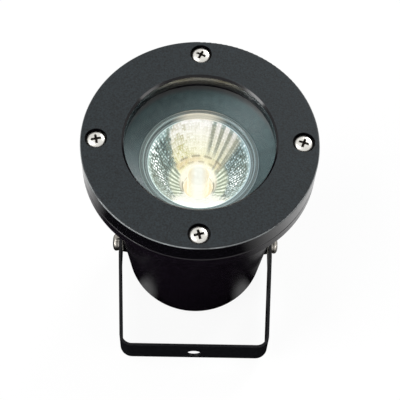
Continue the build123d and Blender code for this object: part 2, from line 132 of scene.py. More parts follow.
class SpotlightSizes(bpy.types.PropertyGroup):
    """Sizes of the fine pieces, which the frame's own nodes don't give."""

    bowl_radius: length_property("Bowl radius", "Inner radius of the lamp's bowl at its mouth", 21.0)
    bowl_focus: length_property("Bowl focus", "Focal length of the bowl's parabola", 4.9)
    bowl_mouth: length_property("Bowl mouth", "Depth of the bowl's mouth below the lamp's front", 1.5)
    bowl_wall: length_property("Bowl wall", "Thickness of the bowl's glass along the axis", 3.2)
    collar_radius: length_property("Collar radius", "Radius of the bowl's glass where its neck starts", 10.5)
    neck_radius: length_property("Neck radius", "Radius of the hole that the capsule stands in", 6.3)
    rim_height: length_property("Rim height", "Height of the lamp's thick front rim", 2.5)
    cover_radius: length_property("Cover radius", "Radius of the seat of the lamp's cover glass", 22.82)
    cover_depth: length_property("Cover depth", "Depth of the seat of the lamp's cover glass", 1.44)
    facet_columns: IntProperty(name="Facet columns", description="Facets round the bowl", default=80, min=8)
    facet_rows: IntProperty(name="Facet rows", description="Facets from neck to mouth", default=20, min=4)
    facet_rise: length_property("Facet rise", "How far the middle of a facet stands up", 0.13)
    head_radius: length_property("Screw head radius", "Radius of the M4 pan heads", 4.0)
    head_height: length_property("Screw head height", "Height of the M4 pan heads", 2.4)
    head_side: length_property("Screw head side", "Height of the straight side of a head", 0.6)
    shank_radius: length_property("Shank radius", "Radius of the M4 shanks", 2.0)
    cross_reach: length_property("Cross reach", "Half the length of the cross recess", 2.1)
    cross_half_width: length_property("Cross half width", "Half the width of an arm of the recess", 0.5)
    cross_depth: length_property("Cross depth", "Depth of the cross recess", 1.5)


class SpotlightColours(bpy.types.PropertyGroup):
    """Colours of the painted, moulded and glass surfaces."""

    cup: colour_property("Cup", "Glossy black coat of the cup", "#0d090f")
    ring: colour_property("Face ring", "Textured charcoal coat of the face ring", "#161c1f")
    # painted shade: the side, lip and bore take a darker copy of the face ring's coat
    ring_side_shaded: colour_property("Face ring side", "Smooth coat on the face ring's side and lip", "#070609")
    bracket: colour_property("Bracket", "Black coat of the bracket", "#0d0d10")
    lamp_ring: colour_property("Lamp ring", "Grey silicone of the ring round the lamp", "#4f6264")
    glow: colour_property("Glow", "Warm light of the filament", "#fcfbee")
    mirror: colour_property("Mirror", "Dichroic coat of the bowl", "#5f6b6a")
    rim: colour_property("Lamp rim", "Pressed glass of the lamp's rim", "#66716f")


def colours():
    """The colours that a user may change."""
    return bpy.context.scene.spotlight_colours


def add_node(tree, kind, values=None, links=None, **settings):
    """Adds one node with its settings, its sockets' values and the outputs that feed it."""
    made = tree.nodes.new(kind)
    for name, value in settings.items():
        setattr(made, name, value)
    for socket, value in (values or {}).items():
        made.inputs[socket].default_value = value
    for socket, source in (links or {}).items():
        tree.links.new(source, made.inputs[socket])
    return made


def start_material(name):
    """An empty material, its tree and the piece's own coordinates."""
    material = bpy.data.materials.new(name)
    material.use_nodes = True
    tree = material.node_tree
    tree.nodes.clear()
    place = add_node(tree, "ShaderNodeTexCoord").outputs["Object"]
    return material, tree, place


def end_material(material, surface):
    """Ends a material's tree with its surface, the output of its last shader."""
    add_node(material.node_tree, "ShaderNodeOutputMaterial", links={"Surface": surface})
    return material


def grain(tree, place, size):
    """Noise whose grains are about a given size across, from 0 to 1."""
    return add_node(
        tree, "ShaderNodeTexNoise", {"Scale": 1 / size, "Detail": 2.0}, {"Vector": place}
    ).outputs["Fac"]


def radius_in(tree, place):
    """The distance from the beam's axis."""
    flat = add_node(tree, "ShaderNodeVectorMath", {1: (1, 1, 0)}, {0: place}, operation="MULTIPLY")
    return add_node(
        tree, "ShaderNodeVectorMath", links={0: flat.outputs["Vector"]}, operation="LENGTH"
    ).outputs["Value"]


def spread_value(tree, source, low, high):
    """Turns a noise pattern into a value between two limits."""
    return add_node(
        tree, "ShaderNodeMapRange",
        {"From Min": NOISE_LOW, "From Max": NOISE_HIGH, "To Min": low, "To Max": high}, {"Value": source},
    ).outputs["Result"]


def tinted(tree, source, colour, change):
    """A colour that a 0 to 1 pattern darkens and lightens by a share of itself."""
    dark = (*[c * (1 - change) for c in colour], 1)
    light = (*[min(1, c * (1 + change)) for c in colour], 1)
    share = spread_value(tree, source, 0.0, 1.0)
    mix = add_node(tree, "ShaderNodeMix", {COLOUR_A: dark, COLOUR_B: light}, {0: share}, data_type="RGBA")
    return mix.outputs[COLOUR_OUT]


def plain_finish(name, colour, grain_size, rough, bump=0.02 * MM, change=0.12, **sockets):
    """A Principled material with one grain that moves its colour, roughness and height a little."""
    material, tree, place = start_material(name)
    pattern = grain(tree, place, grain_size)
    height = add_node(
        tree, "ShaderNodeBump", {"Strength": 1.0, "Distance": bump}, {"Height": pattern}
    ).outputs["Normal"]
    shader = add_node(
        tree, "ShaderNodeBsdfPrincipled", sockets,
        {
            "Base Color": tinted(tree, pattern, colour, change),
            "Roughness": spread_value(tree, pattern, *rough),
            "Normal": height,
        },
    )
    return end_material(material, shader.outputs["BSDF"])


def black_gloss_coat():
    """Glossy black powder coat on cast aluminium: deep black, with the coat's soft orange peel."""
    return plain_finish(
        "black_gloss_powder_coat", colours().cup, 2.5 * MM, rough=(0.16, 0.22), bump=0.003 * MM,
        **{"Specular IOR Level": 0.25},
    )


def charcoal_texture_coat():
    """Fine-textured charcoal powder coat: matte and grainy on the face, and smooth on the machined side,
    the lip and the bore, which are painted darker than the face, as shade. A band round the bore is
    glossy. The coat is painted pale along the face's outer edge, partly as edge wear and partly as a
    painted highlight. The grain is drawn coarse, at 0.7 mm, so that it shows."""
    grain_size, grain_height, mottle = 0.7 * MM, 0.06 * MM, 0.75
    side_roughness, face_roughness = 0.12, (0.46, 0.66)
    texture_fades_from, texture_fades_to = 0.02 * MM, 0.12 * MM
    edge_inset, edge_drop = 0.15 * MM, 0.3 * MM
    wear_highlight_core, wear_highlight_reach = 0.14 * MM, 0.36 * MM
    patch_size, patch_wear_and_highlight = 9.0 * MM, (0.3, 1.0)
    bore_inside, bore_outside = 31.8 * MM, 32.2 * MM
    band_drop, band_core, band_reach = 2.1 * MM, 0.6 * MM, 1.2 * MM
    material, tree, place = start_material("charcoal_texture_powder_coat")
    pattern = grain(tree, place, grain_size)
    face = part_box("face_ring")[1]
    height = add_node(tree, "ShaderNodeSeparateXYZ", links={"Vector": place}).outputs["Z"]
    radius = radius_in(tree, place)
    on_face = add_node(
        tree, "ShaderNodeMapRange",
        {"From Min": face.z - texture_fades_to, "From Max": face.z - texture_fades_from}, {"Value": height},
    ).outputs["Result"]
    rough = add_node(
        tree, "ShaderNodeMix", {VALUE_A: side_roughness},
        {0: on_face, VALUE_B: spread_value(tree, pattern, *face_roughness)}, data_type="FLOAT",
    )
    bump = add_node(
        tree, "ShaderNodeBump", {"Distance": grain_height}, {"Height": pattern, "Strength": on_face}
    )
    edge = (face.x - edge_inset, face.z - edge_drop, 0)
    section = add_node(tree, "ShaderNodeCombineXYZ", links={0: radius, 1: height}).outputs[0]
    apart = add_node(tree, "ShaderNodeVectorMath", {1: edge}, {0: section}, operation="DISTANCE")
    # pale line along the face's outer edge: partly edge wear, partly a painted highlight
    wear_and_highlight = add_node(
        tree, "ShaderNodeMapRange", {"From Min": wear_highlight_reach, "From Max": wear_highlight_core},
        {"Value": apart.outputs["Value"]},
    )
    uneven = spread_value(tree, grain(tree, place, patch_size), *patch_wear_and_highlight)
    wear_and_highlight = add_node(tree, "ShaderNodeMath", links={0: wear_and_highlight.outputs[0], 1: uneven}, operation="MULTIPLY")
    # off the face the coat is painted darker, as shade on the side, lip and bore
    coat = add_node(
        tree, "ShaderNodeMix", {COLOUR_A: (*colours().ring_side_shaded, 1)},
        {0: on_face, COLOUR_B: tinted(tree, pattern, colours().ring, mottle)}, data_type="RGBA",
    )
    # mixes in the pale edge line, partly edge wear and partly a painted highlight
    colour = add_node(
        tree, "ShaderNodeMix", {COLOUR_B: (*linear("#8a8f90"), 1)},
        {0: wear_and_highlight.outputs[0], COLOUR_A: coat.outputs[COLOUR_OUT]}, data_type="RGBA",
    )
    bore = add_node(
        tree, "ShaderNodeMapRange", {"From Min": bore_outside, "From Max": bore_inside}, {"Value": radius}
    )
    off_band = add_node(tree, "ShaderNodeMath", {1: face.z - band_drop}, {0: height}, operation="SUBTRACT")
    off_band = add_node(tree, "ShaderNodeMath", links={0: off_band.outputs[0]}, operation="ABSOLUTE")
    band = add_node(
        tree, "ShaderNodeMapRange", {"From Min": band_reach, "From Max": band_core},
        {"Value": off_band.outputs[0]},
    )
    gloss = add_node(
        tree, "ShaderNodeMath", links={0: bore.outputs[0], 1: band.outputs[0]}, operation="MULTIPLY"
    )
    shader = add_node(
        tree, "ShaderNodeBsdfPrincipled", {"Specular IOR Level": 0.25, "Coat Roughness": 0.05},
        {
            "Coat Weight": gloss.outputs[0],
            "Base Color": colour.outputs[COLOUR_OUT],
            "Roughness": rough.outputs[0],
            "Normal": bump.outputs["Normal"],
        },
    )
    return end_material(material, shader.outputs["BSDF"])


def black_strip_coat():
    """Satin black powder coat on the bent steel strip."""
    return plain_finish(
        "black_satin_powder_coat", colours().bracket, 0.9 * MM, rough=(0.3, 0.4), bump=0.01 * MM,
        **{"Specular IOR Level": 0.25},
    )


def clear_glass(name, tint):
    """A clear pane: each face reflects a little and lets the rest straight through.

    The share that it reflects follows Schlick's law, a small share head on plus the fifth power of the
    slant, and is the same from inside, so that the panes' rims don't turn into mirrors. It is kept low,
    because both faces of both panes mirror the white surroundings.
    """
    head_on, roughness = 0.008, 0.01
    material, tree, _ = start_material(name)
    gloss = add_node(
        tree, "ShaderNodeBsdfPrincipled",
        {"Base Color": (1, 1, 1, 1), "Roughness": roughness, "Metallic": 1.0},
    )
    through = add_node(tree, "ShaderNodeBsdfTransparent", {"Color": (*tint, 1)})
    slant = add_node(tree, "ShaderNodeLayerWeight", {"Blend": 0.5}).outputs["Facing"]
    share = add_node(tree, "ShaderNodeMath", {1: 5.0}, {0: slant}, operation="POWER").outputs["Value"]
    share = add_node(tree, "ShaderNodeMapRange", {"To Min": head_on, "To Max": 1.0}, {"Value": share})
    mix = add_node(
        tree, "ShaderNodeMixShader",
        links={0: share.outputs["Result"], 1: through.outputs["BSDF"], 2: gloss.outputs["BSDF"]},
    )
    return end_material(material, mix.outputs["Shader"])


def black_rubber():
    """Moulded EPDM rubber: dull black with a faint bloom."""
    return plain_finish("black_epdm_rubber", linear("#232122"), 0.8 * MM, rough=(0.6, 0.75))


def grey_silicone():
    """Moulded silicone: grey-green, smooth and slightly waxy, so that it has a soft shine. Outside the
    land that the lip leaves open it is painted a plain grey, as the shade under the lip."""
    lip_shade_from, lip_shade_to = 31.8 * MM, 33.8 * MM
    material, tree, place = start_material("grey_silicone")
    pattern = grain(tree, place, 3.0 * MM)
    # painted shade: mask of the outer band that lies under the lip
    lip_shade = add_node(
        tree, "ShaderNodeMapRange", {"From Min": lip_shade_from, "From Max": lip_shade_to},
        {"Value": radius_in(tree, place)},
    )
    colour = add_node(
        tree, "ShaderNodeMix", {COLOUR_B: (*linear("#626161"), 1)},
        {0: lip_shade.outputs["Result"], COLOUR_A: tinted(tree, pattern, colours().lamp_ring, 0.16)},
        data_type="RGBA",
    )
    shader = add_node(
        tree, "ShaderNodeBsdfPrincipled", {"Specular IOR Level": 0.25},
        {"Base Color": colour.outputs[COLOUR_OUT], "Roughness": spread_value(tree, pattern, 0.34, 0.42)},
    )
    return end_material(material, shader.outputs["BSDF"])


def stainless_steel(name, colour_hex):
    """Stainless screws: pale metal with fine turning marks, and painted dark in the punched recess, as the
    shade that falls there.

    The attribute named recess, which the screws' mesh holds, says how deep a point lies in it, and so how
    much painted shade it takes.
    """
    material, tree, place = start_material(name)
    pattern = grain(tree, place, 0.3 * MM)
    recess = add_node(tree, "ShaderNodeAttribute", attribute_name="recess").outputs["Fac"]
    # painted shade: the steel darkens towards the recess's deepest point
    colour = add_node(
        tree, "ShaderNodeMix", {COLOUR_B: (*linear("#241f1c"), 1)},
        {0: recess, COLOUR_A: tinted(tree, pattern, linear(colour_hex), 0.08)}, data_type="RGBA",
    )
    shader = add_node(
        tree, "ShaderNodeBsdfPrincipled", {"Metallic": 1.0},
        {"Base Color": colour.outputs[COLOUR_OUT], "Roughness": spread_value(tree, pattern, 0.24, 0.38)},
    )
    return end_material(material, shader.outputs["BSDF"])


def zinc_plated_steel():
    """Bright zinc plate on small steel parts, a little bluish."""
    return plain_finish(
        "zinc_plated_steel", linear("#c3c8cd"), 0.5 * MM, rough=(0.28, 0.42), bump=0.004 * MM, change=0.1,
        Metallic=1.0,
    )


def turned_brass():
    """Machined brass with fine tool marks."""
    return plain_finish(
        "turned_brass", linear("#c9a65a"), 0.3 * MM, rough=(0.25, 0.38), bump=0.004 * MM, change=0.1,
        Metallic=1.0,
    )


def steatite():
    """Unglazed steatite ceramic: off-white, dry and finely pitted."""
    return plain_finish("steatite_ceramic", linear("#d9d3c4"), 0.6 * MM, rough=(0.65, 0.8))


def lit_steatite():
    """Steatite that the filament lights up: it glows cream at its top, under the bowl's neck."""
    glow_strength, glow_full, glow_ends = 0.5, 0.5 * MM, 4.0 * MM
    material, tree, place = start_material("lit_steatite_ceramic")
    pattern = grain(tree, place, 0.6 * MM)
    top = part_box("lamp_base")[1].z
    height = add_node(tree, "ShaderNodeSeparateXYZ", links={"Vector": place}).outputs["Z"]
    lit = add_node(
        tree, "ShaderNodeMapRange",
        {"From Min": top - glow_ends, "From Max": top - glow_full, "To Max": glow_strength},
        {"Value": height},
    )
    shader = add_node(
        tree, "ShaderNodeBsdfPrincipled", {"Emission Color": (*linear("#fbe9c4"), 1)},
        {
            "Base Color": tinted(tree, pattern, linear("#d9d3c4"), 0.12),
            "Roughness": spread_value(tree, pattern, 0.65, 0.8),
            "Emission Strength": lit.outputs["Result"],
        },
    )
    return end_material(material, shader.outputs["BSDF"])


def natural_nylon():
    """Natural nylon, milky and slightly waxy."""
    return plain_finish("natural_nylon", linear("#d8d5c9"), 1.5 * MM, rough=(0.4, 0.5), change=0.06)


def black_nylon():
    """Moulded black nylon with the dull sheen of an etched mould."""
    return plain_finish("black_nylon", linear("#131315"), 0.6 * MM, rough=(0.42, 0.56), bump=0.012 * MM)


def silicone_sleeve():
    """Braid-backed silicone sleeve on the lamp's leads, drawn as a soft off-white skin."""
    return plain_finish("silicone_sleeve", linear("#cfc9ba"), 0.7 * MM, rough=(0.55, 0.7))


def pin_wire():
    """Drawn nickel-iron and tungsten wire."""
    return plain_finish(
        "drawn_pin_wire", linear("#a8a49c"), 0.3 * MM, rough=(0.3, 0.45), bump=0.003 * MM, Metallic=1.0
    )


def lit_glass(name, colour, metallic, rough, change):
    """A lit surface of the lamp, whose own light is the colour attribute named light on its mesh."""
    material, tree, place = start_material(name)
    light = add_node(tree, "ShaderNodeAttribute", attribute_name="light").outputs["Color"]
    pattern = grain(tree, place, 1.1 * MM)
    shader = add_node(
        tree, "ShaderNodeBsdfPrincipled", {"Metallic": metallic, "Emission Strength": 1.0},
        {
            "Base Color": tinted(tree, pattern, colour, change),
            "Roughness": spread_value(tree, pattern, *rough),
            "Emission Color": light,
        },
    )
    return end_material(material, shader.outputs["BSDF"])


def dichroic_mirror():
    """Dichroic mirror of the lit bowl: a greenish silver that carries the filament's light in its facets."""
    return lit_glass("dichroic_mirror", colours().mirror, 1.0, (0.08, 0.16), 0.15)


def pressed_glass():
    """Pressed glass of the lamp's rim and back, full of scattered light: pale grey-green, glossy."""
    return lit_glass("pressed_glass", colours().rim, 0.0, (0.1, 0.2), 0.12)


def hot_tungsten():
    """Tungsten coil at white heat, whose glow is a little uneven along the coil."""
    strength, unevenness = 3.0, 0.15
    material, tree, place = start_material("hot_tungsten")
    glow = spread_value(
        tree, grain(tree, place, 1.2 * MM), strength * (1 - unevenness), strength * (1 + unevenness)
    )
    shader = add_node(
        tree, "ShaderNodeBsdfPrincipled",
        {"Base Color": (0.8, 0.8, 0.78, 1), "Roughness": 0.35, "Emission Color": (*colours().glow, 1)},
        {"Emission Strength": glow},
    )
    return end_material(material, shader.outputs["BSDF"])


def lit_quartz():
    """Quartz of the lit capsule: white over the filament, and cream towards its two sides."""
    white_to, cream_from = 1.3 * MM, 3.6 * MM
    material, tree, place = start_material("lit_quartz")
    pattern = grain(tree, place, 1.5 * MM)
    across = add_node(tree, "ShaderNodeSeparateXYZ", links={"Vector": place}).outputs["X"]
    across = add_node(tree, "ShaderNodeMath", links={0: across}, operation="ABSOLUTE").outputs["Value"]
    side = add_node(
        tree, "ShaderNodeMapRange", {"From Min": white_to, "From Max": cream_from}, {"Value": across}
    )
    light = add_node(
        tree, "ShaderNodeMix", {COLOUR_A: (*colours().glow, 1), COLOUR_B: (*linear("#faedcc"), 1)},
        {0: side.outputs["Result"]}, data_type="RGBA",
    )
    shader = add_node(
        tree, "ShaderNodeBsdfPrincipled", {"Base Color": (0.05, 0.05, 0.05, 1), "Roughness": 0.1},
        {
            "Emission Color": light.outputs[COLOUR_OUT],
            "Emission Strength": spread_value(tree, pattern, 0.92, 1.0),
        },
    )
    return end_material(material, shader.outputs["BSDF"])


def dress(material, *nodes):
    """Puts a material on CAD nodes, in place of the plain one they came with."""
    for name in nodes:
        mesh = frame["nodes"][name].data
        mesh.materials.clear()
        mesh.materials.append(material)


def skin(rows, capped=True):
    """A skin over rings of points, given as an array of rings by sectors by three.

    Each point joins its neighbours round its ring and the same sector of the next ring. Caps close
    both ends, each with one point in the end ring's middle. Rings that follow each other upwards face
    outwards.
    """
    rings, sectors = rows.shape[:2]
    index = np.arange(rings * sectors).reshape(rings, sectors)
    following = np.roll(index, -1, axis=1)
    faces = np.stack([index[:-1], following[:-1], following[1:], index[1:]], axis=-1).reshape(-1, 4).tolist()
    points = [rows.reshape(-1, 3)]
    if capped:
        points += [rows[0].mean(axis=0)[None], rows[-1].mean(axis=0)[None]]
        first, last = (np.full(sectors, rings * sectors + end) for end in (0, 1))
        faces += np.stack([first, following[0], index[0]], axis=-1).tolist()
        faces += np.stack([last, index[-1], following[-1]], axis=-1).tolist()
    return np.concatenate(points), faces


def turned_rows(radii, heights, sectors):
    """Rings of points about Z: each point is the radius times the cosine and sine of its turn.

    The radii and heights hold one value for each ring, or one for each point.
    """
    turn = np.linspace(0, 2 * np.pi, sectors, endpoint=False)
    radii, heights = (np.reshape(values, (len(values), -1)) for values in (radii, heights))
    points = np.broadcast_arrays(radii * np.cos(turn), radii * np.sin(turn), heights)
    return np.stack(points, axis=-1)


def mesh_object(name, points, faces, materials):
    """A mesh with its materials, as an object in the scene."""
    mesh = bpy.data.meshes.new(name)
    mesh.from_pydata(points, [], faces)
    for material in materials:
        mesh.materials.append(material)
    made = bpy.data.objects.new(name, mesh)
    bpy.context.scene.collection.objects.link(made)
    return made


def make_piece(name, parts, materials, body, replaced, attribute, kind):
    """One object from several skins, each with its material's number and its points' attribute."""
    points, faces, numbers, values = [], [], [], []
    count = 0
    for (part_points, part_faces), number, value in parts:
        points.append(part_points)
        faces += [[i + count for i in face] for face in part_faces]
        numbers += [number] * len(part_faces)
        values.append(np.ravel(value))
        count += len(part_points)
    made = mesh_object(name, np.concatenate(points), faces, materials)
    mesh = made.data
    mesh.polygons.foreach_set("material_index", numbers)
    mesh.polygons.foreach_set("use_smooth", [True] * len(faces))
    field = "value" if kind == "FLOAT" else "color"
    mesh.attributes.new(attribute, kind, "POINT").data.foreach_set(field, np.concatenate(values))
    mesh.set_sharp_from_angle(angle=np.radians(SHARP_ANGLE))
    mesh.update()
    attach(made, body)
    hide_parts(replaced)


def screw_skin(length, turn):
    """A pan head screw along Z with its head on z = 0, as one skin from the shank's tip to the recess.

    The head's outline is a superellipse, the radius and height as powers of the sine and cosine. The
    recess lowers each point by how far it lies inside either of two crossed bars or a round middle,
    which all have sloping walls. The dome's rings are finer where the recess lies.
    """
    sizes = bpy.context.scene.spotlight_sizes
    sectors, dome_rings, fine_rings = 120, 18, 46
    squareness, under_head, sinks_above = 2.6, 0.97, 0.8
    wide_to, fine_from, fine_to = 0.62, 0.6, 0.012
    end_slope, side_slope, middle_slope = 0.55 * MM, 0.16 * MM, 0.25 * MM
    middle_reach = 0.85 * MM
    tip = np.array([[0.55, -1.0], [0.8, -1.0], [1.0, -0.97]]) * (sizes.shank_radius, length)
    neck = np.array([[sizes.shank_radius, 0.0], [sizes.head_radius * under_head, 0.0]])
    dome_turn = np.linspace(np.pi / 2, 0.0, dome_rings)
    power = 2 / squareness
    dome = np.stack(
        [
            sizes.head_radius * np.sin(dome_turn) ** power,
            sizes.head_side + (sizes.head_height - sizes.head_side) * np.cos(dome_turn) ** power,
        ],
        axis=-1,
    )
    wide = dome[dome[:, 0] > wide_to * sizes.head_radius]
    fine_radii = np.linspace(fine_from, fine_to, fine_rings) * sizes.head_radius
    fine = np.stack([fine_radii, np.interp(-fine_radii, -dome[:, 0], dome[:, 1])], axis=-1)
    profile = np.concatenate([tip, neck, wide, fine])
    rows = turned_rows(profile[:, 0], profile[:, 1], sectors)
    cos, sin = np.cos(turn), np.sin(turn)
    along = rows[..., 0] * cos + rows[..., 1] * sin
    across = rows[..., 1] * cos - rows[..., 0] * sin

    def inside(a, b):
        reach = (sizes.cross_reach - np.abs(a)) / end_slope
        return np.minimum(reach, (sizes.cross_half_width - np.abs(b)) / side_slope)

    middle = (middle_reach - np.hypot(along, across)) / middle_slope
    depth = np.maximum(np.maximum(inside(along, across), inside(across, along)), middle)
    sunk = np.where(rows[..., 2] > sinks_above * sizes.head_height, np.clip(depth, 0, 1), 0)
    rows[..., 2] -= sunk * sizes.cross_depth
    return skin(rows), np.concatenate([sunk.ravel(), [0.0, 1.0]])


def least_reach(name):
    """The least distance from the plane x = 0 to a node's points."""
    return min(abs(point.co.x) for point in frame["nodes"][name].data.vertices)


def placed_screw(length, turn, matrix):
    """A screw carried to its place by a matrix, as one part of a piece."""
    (points, faces), recess = screw_skin(length, np.radians(turn))
    return (points @ np.array(matrix.to_3x3()).T + np.array(matrix.translation), faces), 0, recess


class SPOTLIGHT_OT_cup(bpy.types.Operator):
    """Finishes the cast cup and its face ring"""

    bl_idname = "spotlight.cup"
    bl_label = "Cup and Face Ring"

    def execute(self, context):
        dress(black_gloss_coat(), "housing")
        dress(charcoal_texture_coat(), "face_ring")
        return {"FINISHED"}


class SPOTLIGHT_OT_window(bpy.types.Operator):
    """Finishes the lens, its gasket and the ring round the lamp"""

    bl_idname = "spotlight.window"
    bl_label = "Lens, Gasket and Lamp Ring"

    def execute(self, context):
        dress(clear_glass("toughened_glass", linear("#fdfefe")), "lens_glass")
        dress(black_rubber(), "lens_gasket")
        dress(grey_silicone(), "lamp_ring")
        return {"FINISHED"}


def smooth_step(value, start, end):
    """0 before start, 1 after end, and the cubic three minus two x times x squared between them."""
    x = np.clip((value - start) / (end - start), 0, 1)
    return x * x * (3 - 2 * x)


def bump_at(value, middle, width):
    """A bell of height 1: the exponential of minus the squared distance over the squared width."""
    return np.exp(-(((value - middle) / width) ** 2))


def bowl_light(turn, radius, tone, spot):
    """The light that each point of the lit bowl gives off, as a colour.

    turn is the angle from the back, growing to the right, and radius is in millimetres. All of it is a
    painted reflection of the lit capsule, its filament and the neck in the mirror. The sides are teal
    facets, each with one spot, a painted glint, and the strongest spots are white. A cream wedge covers
    the back, cut into radial streaks with olive gaps on its right. Cream light also fills the front and
    the ring round the neck. Dark and light dashes stand round the neck at the sides, and at the back lie
    a gold band and two rows of brown marks. Each is a smooth mask, and the colours are mixed one over
    the other.
    """
    dash_count, mark_count = 36, 14
    away = np.abs(turn)
    near_rim = smooth_step(radius, 19.6, 20.7)
    left_band = bump_at(turn + 1.31 + 0.105 * (19.5 - radius), 0.0, 0.2) * smooth_step(radius, 12.0, 15.0)
    right_patch = bump_at(turn, 1.75, 0.3) * bump_at(radius, 15.7, 2.2)
    level = (0.09 + 0.4 * tone) * (0.3 + 1.9 * spot) + 0.3 * near_rim
    level = level + 3.2 * (left_band + right_patch) * (0.3 + 0.7 * tone) * spot
    bluer = (-0.04, 0.0, 0.12)
    teal = (0.76, 1.0, 0.96) + smooth_step(turn, -0.6, 0.9)[..., None] * bluer
    white = smooth_step(level, 0.45, 1.1)[..., None]
    side = level[..., None] * (teal + white * (1.0 - teal))
    dash = smooth_step(np.sin(dash_count * turn), -0.4, 0.6)[..., None]
    dashes = smooth_step(radius, 7.2, 8.2) * (1 - smooth_step(radius, 11.5, 13.5))
    dashes = smooth_step(away, 0.85, 1.0) * dashes
    dash_light = dash * (0.5 + 0.5 * tone)[..., None] * (0.72, 0.74, 0.64)
    dash_light = (0.25, 0.28, 0.2) + dash_light
    left_edge = -0.66 - 0.035 * (20.0 - radius) + 0.1 * (tone - 0.5)
    wedge = smooth_step(turn, left_edge - 0.05, left_edge + 0.05) * (1 - smooth_step(turn, 0.22, 0.3))
    border = 0.75 * bump_at(turn, left_edge - 0.07, 0.05) * (radius > 10)
    gaps = smooth_step(turn, 0.2, 0.25) * (1 - smooth_step(turn, 0.92, 1.1)) * (1 - 0.4 * near_rim)
    streak_middle, streak_pitch, streaks_from, streaks_to = 0.42, 0.2, 0.2, 0.98
    streaks = smooth_step(np.cos(2 * np.pi * (turn - streak_middle) / streak_pitch), -0.45, 0.3)
    streaks = streaks * (turn > streaks_from) * (turn < streaks_to)
    streaks = streaks * np.where(turn > 0.7, 0.8, 1.0) * (0.8 + 0.2 * spot)
    merged = (1 - smooth_step(radius, 11.0, 15.5)) * (1 - smooth_step(turn, 0.5, 0.7))
    merged = merged * (turn > streaks_from)
    wedge = np.maximum.reduce([wedge, streaks, merged])
    shade = (0.2 + 0.3 * smooth_step(-turn, 0.1, 0.5)) * (1 - spot) * (0.2 + tone)
    shade = shade * smooth_step(radius, 8.0, 11.0)
    cream = np.stack([0.98 - 0.8 * shade, 0.92 - 0.8 * shade, 0.88 - 0.025 * (20 - radius) - shade], axis=-1)
    front = smooth_step(away + 0.03 * (18 - radius) + 0.4 * (tone - 0.5) * (spot + 0.3), 2.35, 2.6)
    front_cream = 0.97 - 0.16 * ((1 - spot) * tone)[..., None] * (1.0, 1.0, 1.3)
    neck_ring = 1 - smooth_step(radius + 1.6 * away, 9.6, 11.2)
    gold_band = bump_at(radius, 11.0, 1.1) * (1 - smooth_step(away, 0.85, 1.1)) * (0.55 + 0.45 * spot)
    gold_band = gold_band * (1 - 0.5 * smooth_step(turn, -0.2, 0.3))
    marks = smooth_step(np.cos(mark_count * (turn + 0.1)), -0.75, -0.2) * (away < 0.95)
    marks = bump_at(radius, 12.0, 0.35) * marks
    inner_marks = smooth_step(np.cos(mark_count * (turn - 0.12)), -0.5, 0.1) * (away < 0.9)
    inner_marks = bump_at(radius, 10.2, 0.3) * inner_marks
    neck_sides = smooth_step(away, 1.2, 1.4) * (1 - smooth_step(away, 1.9, 2.15))
    neck_arcs = neck_sides * np.maximum(bump_at(radius, 6.75, 0.42), 0.5 * bump_at(radius, 7.8, 0.3))
    # the painted reflections are laid over the sides one after the other
    light = side
    for mask, colour in (
        (dashes, dash_light),
        (border, (0.16, 0.18, 0.13)),
        (gaps, (0.3 + 0.35 * tone * spot)[..., None] * (0.97, 0.93, 0.7)),
        (wedge, cream),
        (front, front_cream * (0.96, 0.93, 0.87)),
        (neck_ring, (0.98, 0.9, 0.74)),
        (0.9 * gold_band, (0.84, 0.61, 0.38)),
        (0.75 * marks, (0.24, 0.18, 0.1)),
        (0.55 * inner_marks, (0.3, 0.2, 0.1)),
        (0.85 * neck_arcs, (0.22, 0.17, 0.1)),
    ):
        light = light + mask[..., None] * (colour - light)
    return light


def bowl_skin():
    """The bowl's faceted inside, from the mouth down to the neck, and its points' light.

    The height is the radius squared over four focal lengths. Each facet rises from that parabola by
    the product of two parabolas that are zero at its edges. Its tone and the place of its painted glint
    are random.
    """
    sizes = bpy.context.scene.spotlight_sizes
    steps, spot_width, spot_height = FACET_STEPS, 0.45, 0.6
    columns, rows_of = sizes.facet_columns, sizes.facet_rows
    mouth_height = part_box("lamp_front_glass")[1].z - sizes.bowl_mouth
    bottom = mouth_height - sizes.bowl_radius ** 2 / (4 * sizes.bowl_focus)
    down = np.linspace(0, 1, rows_of * steps + 1)
    radius = sizes.bowl_radius + (sizes.neck_radius - sizes.bowl_radius) * down
    sectors = columns * steps
    turn = np.linspace(0, 2 * np.pi, sectors, endpoint=False)
    row, column = np.arange(len(down))[:, None], np.arange(sectors)
    across, along = (column % steps) / steps * 2 - 1, (row % steps) / steps * 2 - 1
    rise = sizes.facet_rise * (1 - along ** 2) * (1 - across ** 2)
    height = bottom + radius ** 2 / (4 * sizes.bowl_focus)
    slope = radius / (2 * sizes.bowl_focus)
    lean = 1 / np.hypot(1, slope)
    radii = radius[:, None] - rise * (slope * lean)[:, None]
    heights = height[:, None] + rise * lean[:, None]
    chance = np.random.default_rng(7).random((3, rows_of + 1, columns))
    tone, aside, below = chance[:, row // steps, column // steps]
    # each facet's spot is its painted glint
    spot = bump_at(across, aside - 0.5, spot_width) * bump_at(along, below - 0.5, spot_height)
    from_back = np.broadcast_to(np.angle(np.exp(1j * (np.pi / 2 - turn))), tone.shape)
    light = bowl_light(from_back, np.broadcast_to(radius[:, None] / MM, tone.shape), tone, spot)
    return skin(turned_rows(radii, heights, sectors), capped=False), opaque(light)


def opaque(light):
    """Colours with a fourth channel of 1, as one row for each point."""
    return np.insert(light.reshape(-1, 3), 3, 1.0, axis=1)


